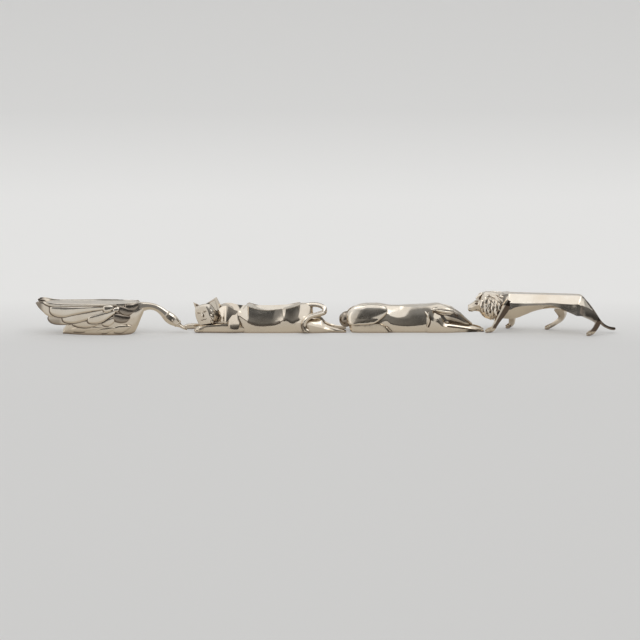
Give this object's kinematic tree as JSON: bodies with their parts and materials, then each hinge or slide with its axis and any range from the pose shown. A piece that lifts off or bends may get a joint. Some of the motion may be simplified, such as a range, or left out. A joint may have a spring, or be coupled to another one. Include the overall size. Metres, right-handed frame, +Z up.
{
  "type": "set of animal-figure knife rests",
  "caption": "Loose plated-metal animal figures, a swan, a cat, a hare and a lion, in one row nose to tail; each has a level back that a knife or fork lies across.",
  "frame": {"origin": "middle of the row's bounding box, on the table top under the feet", "axes": "+X along the row, from the swan's tail to the lion's tail; +Y from the front of the row to the back; +Z up"},
  "size_m": [0.3706, 0.0311, 0.0256],
  "materials": {
    "silver_plate": "polished silver plate, lightly tarnished"
  },
  "bodies": {
    "swan": {"swan_body": "silver_plate", "swan_neck": "silver_plate", "swan_head": "silver_plate", "swan_beak": "silver_plate", "swan_wing_left": "silver_plate", "swan_wing_right": "silver_plate", "swan_tail": "silver_plate"},
    "cat": {"cat_body": "silver_plate", "cat_head": "silver_plate", "cat_ear_left": "silver_plate", "cat_ear_right": "silver_plate", "cat_shoulder_left": "silver_plate", "cat_shoulder_right": "silver_plate", "cat_foreleg_left": "silver_plate", "cat_foreleg_right": "silver_plate", "cat_hindleg_left": "silver_plate", "cat_hindleg_right": "silver_plate", "cat_tail": "silver_plate"},
    "hare": {"hare_body": "silver_plate", "hare_head": "silver_plate", "hare_ear_left": "silver_plate", "hare_ear_right": "silver_plate", "hare_foreleg_left": "silver_plate", "hare_foreleg_right": "silver_plate", "hare_haunch_left": "silver_plate", "hare_haunch_right": "silver_plate", "hare_hindfoot_left": "silver_plate", "hare_hindfoot_right": "silver_plate", "hare_tail": "silver_plate"},
    "lion": {"lion_body": "silver_plate", "lion_mane": "silver_plate", "lion_head": "silver_plate", "lion_foreleg_left": "silver_plate", "lion_foreleg_right": "silver_plate", "lion_hindleg_left": "silver_plate", "lion_hindleg_right": "silver_plate", "lion_tail": "silver_plate"}
  },
  "joints": [
    {"name": "swan_lift", "type": "slide", "parent": "hare", "child": "swan", "axis": [0, 0, 1], "range_m": [0, 0.06]},
    {"name": "cat_lift", "type": "slide", "parent": "hare", "child": "cat", "axis": [0, 0, 1], "range_m": [0, 0.06]},
    {"name": "lion_lift", "type": "slide", "parent": "hare", "child": "lion", "axis": [0, 0, 1], "range_m": [0, 0.06]}
  ]
}
